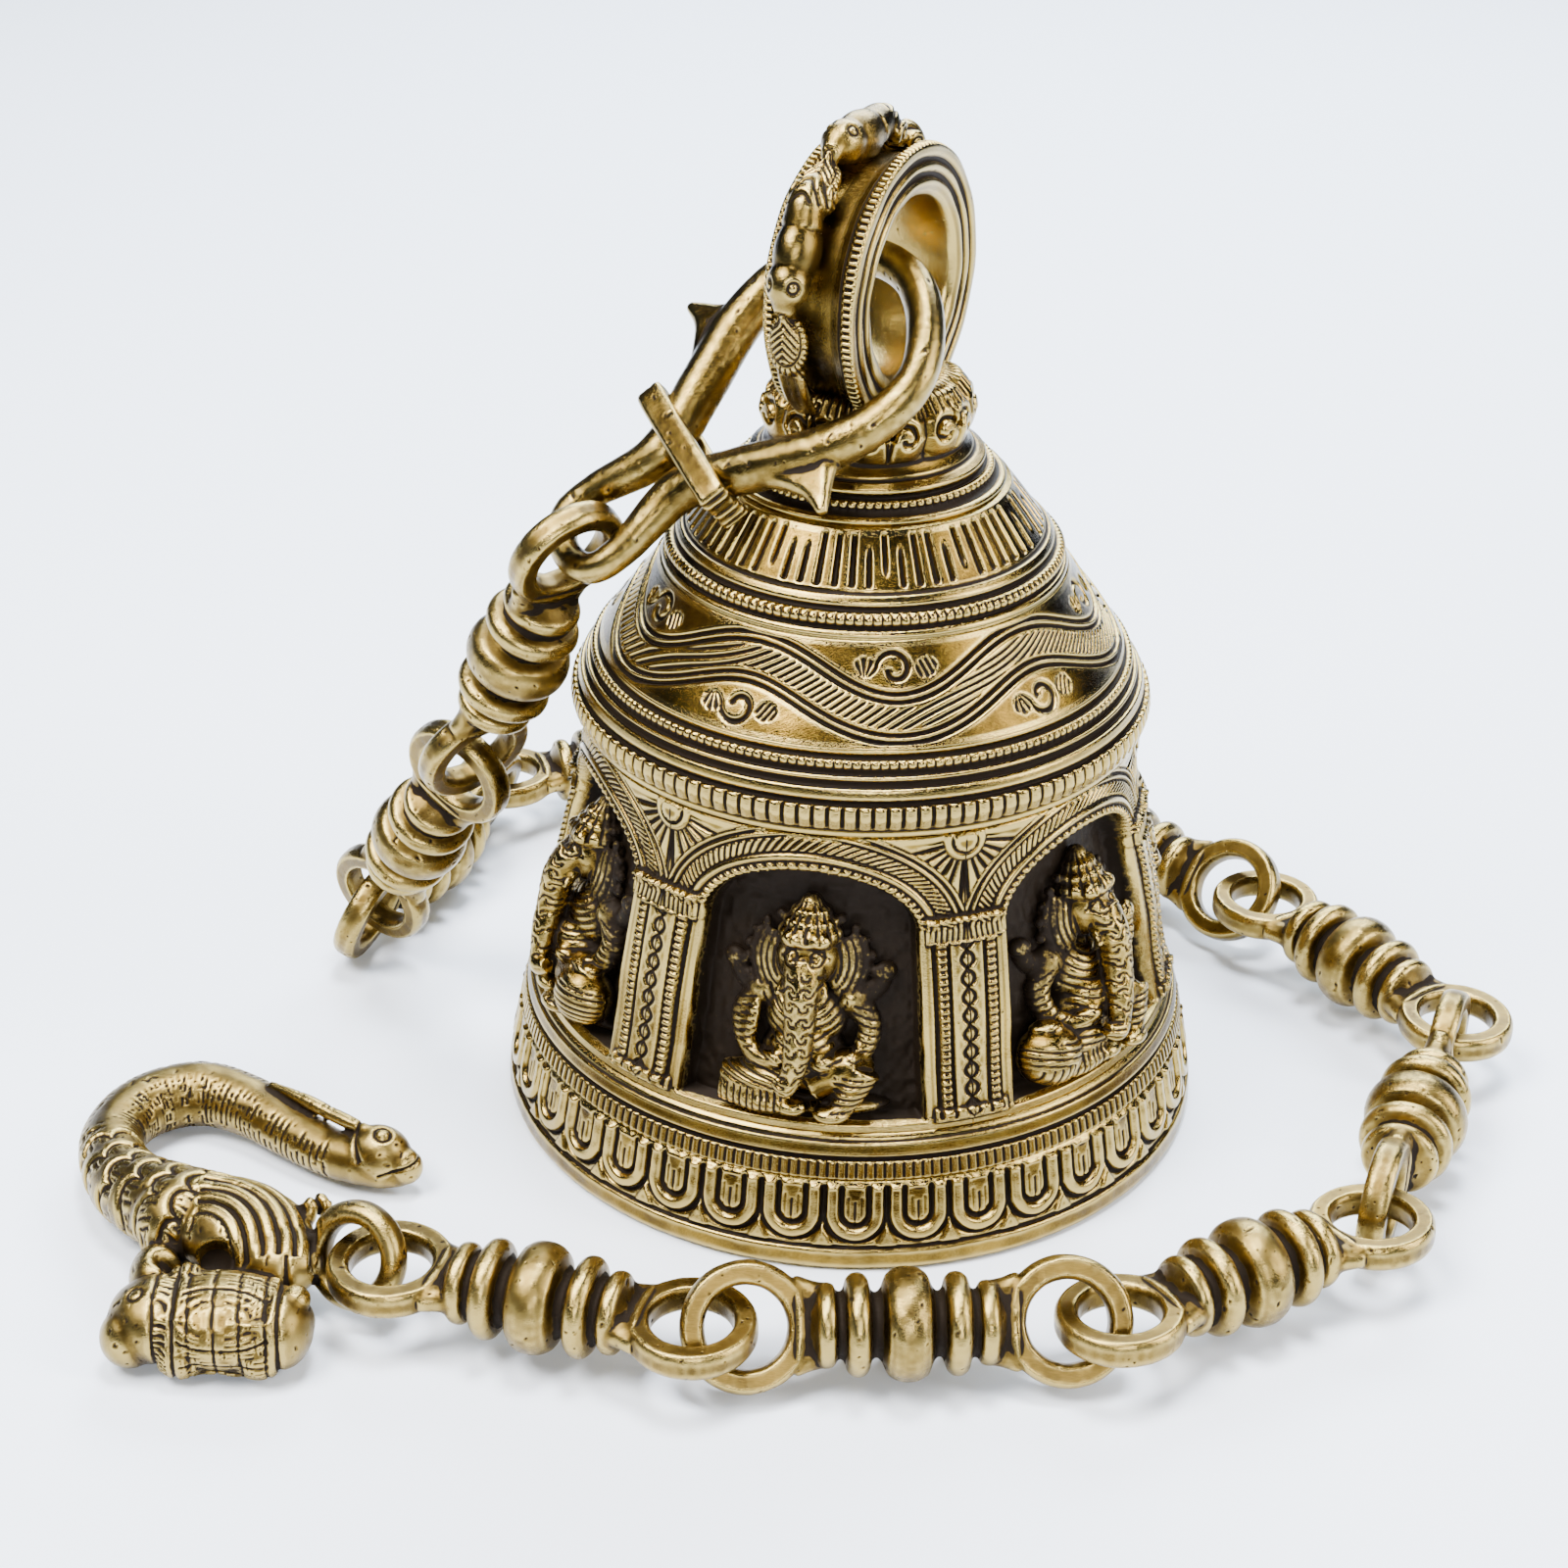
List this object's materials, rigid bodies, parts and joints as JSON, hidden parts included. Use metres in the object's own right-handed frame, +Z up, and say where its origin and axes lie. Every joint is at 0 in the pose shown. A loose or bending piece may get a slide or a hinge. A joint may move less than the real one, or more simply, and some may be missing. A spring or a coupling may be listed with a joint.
{
  "type": "temple bell",
  "caption": "Cast brass temple bell with an arcade of seated figures, a flanged hanging ring and a chain of turned links ending in a bird-shaped hook.",
  "frame": {"origin": "centre of the bell's foot, on its lower face and on its axis", "axes": "+Z up along the bell's axis from the foot to the ring; -Y towards the niche that faces the front, +X to its right; the hanging hook lies on the -X side"},
  "size_m": [0.2597, 0.2178, 0.1799],
  "materials": {
    "bell_brass": "aged cast brass, bright on the high places and dark brown in the recesses",
    "ring_brass": "aged cast brass, worn smooth on the flanges",
    "shackle_brass": "worn cast brass with file marks",
    "chain_brass": "worn cast brass with pits and dark grooves",
    "hook_brass": "worn cast brass with chased lines",
    "inner_brass": "dull brown unpolished brass"
  },
  "bodies": {
    "bell": {"bell_shell": "bell_brass", "crown_collar": "bell_brass", "suspension_ring": "ring_brass", "eye_bolt": "inner_brass", "crown_washer": "inner_brass", "crown_nut": "inner_brass"},
    "clapper": {"clapper_rod": "inner_brass", "clapper_ball": "inner_brass"},
    "shackle": {"shackle_fork": "shackle_brass", "shackle_band": "shackle_brass"},
    "link_01": {"chain_link_01": "chain_brass"},
    "link_02": {"chain_link_02": "chain_brass"},
    "link_03": {"chain_link_03": "chain_brass"},
    "link_04": {"chain_link_04": "chain_brass"},
    "link_05": {"chain_link_05": "chain_brass"},
    "link_06": {"chain_link_06": "chain_brass"},
    "link_07": {"chain_link_07": "chain_brass"},
    "link_08": {"chain_link_08": "chain_brass"},
    "link_09": {"chain_link_09": "chain_brass"},
    "link_10": {"chain_link_10": "chain_brass"},
    "link_11": {"chain_link_11": "chain_brass"},
    "hook": {"hanging_hook": "hook_brass"}
  },
  "joints": [
    {"name": "clapper_swing", "type": "hinge", "parent": "bell", "child": "clapper", "pos_m": [0, 0, 0.10005], "axis": [1, 0, 0], "range_deg": [-26, 26]},
    {"name": "shackle_swing", "type": "hinge", "parent": "bell", "child": "shackle", "pos_m": [0, 0, 0.152], "axis": [0, 0, -1], "range_deg": [-12, 1]},
    {"name": "link_01_turn", "type": "hinge", "parent": "shackle", "child": "link_01", "pos_m": [-0.0496, -0.0142, 0.1091], "axis": [0, 0, 1], "range_deg": [-10, 5]},
    {"name": "link_02_turn", "type": "hinge", "parent": "link_01", "child": "link_02", "pos_m": [-0.06835, 0.00082, 0.06411], "axis": [0, 0, -1], "range_deg": [-12, 12]},
    {"name": "link_03_turn", "type": "hinge", "parent": "link_02", "child": "link_03", "pos_m": [-0.09418, 0.03388, 0.0106], "axis": [0, 0, 1], "range_deg": [-8, 10]},
    {"name": "link_04_turn", "type": "hinge", "parent": "link_03", "child": "link_04", "pos_m": [-0.07286, 0.08943, 0.0106], "axis": [0, 0, -1], "range_deg": [-8, 5]},
    {"name": "link_05_turn", "type": "hinge", "parent": "link_04", "child": "link_05", "pos_m": [-0.0243, 0.10502, 0.0106], "axis": [0, 0, 1], "range_deg": [-8, 10]},
    {"name": "link_06_turn", "type": "hinge", "parent": "link_05", "child": "link_06", "pos_m": [0.0394, 0.08121, 0.0106], "axis": [0, 0, -1], "range_deg": [-12, 3]},
    {"name": "link_07_turn", "type": "hinge", "parent": "link_06", "child": "link_07", "pos_m": [0.08347, 0.04124, 0.0106], "axis": [0, 0, 1], "range_deg": [-12, 25]},
    {"name": "link_08_turn", "type": "hinge", "parent": "link_07", "child": "link_08", "pos_m": [0.11287, -0.00043, 0.0106], "axis": [0, 0, -1], "range_deg": [-25, 7]},
    {"name": "link_09_turn", "type": "hinge", "parent": "link_08", "child": "link_09", "pos_m": [0.08608, -0.06294, 0.0106], "axis": [0, 0, 1], "range_deg": [-10, 25]},
    {"name": "link_10_turn", "type": "hinge", "parent": "link_09", "child": "link_10", "pos_m": [0.04174, -0.08813, 0.0106], "axis": [0, 0, -1], "range_deg": [-30, 10]},
    {"name": "link_11_turn", "type": "hinge", "parent": "link_10", "child": "link_11", "pos_m": [-0.02616, -0.0918, 0.0106], "axis": [0, 0, 1], "range_deg": [-16, 30]},
    {"name": "hook_turn", "type": "hinge", "parent": "link_11", "child": "hook", "pos_m": [-0.07533, -0.07826, 0.0106], "axis": [0, 0, -1], "range_deg": [-40, 36]}
  ]
}
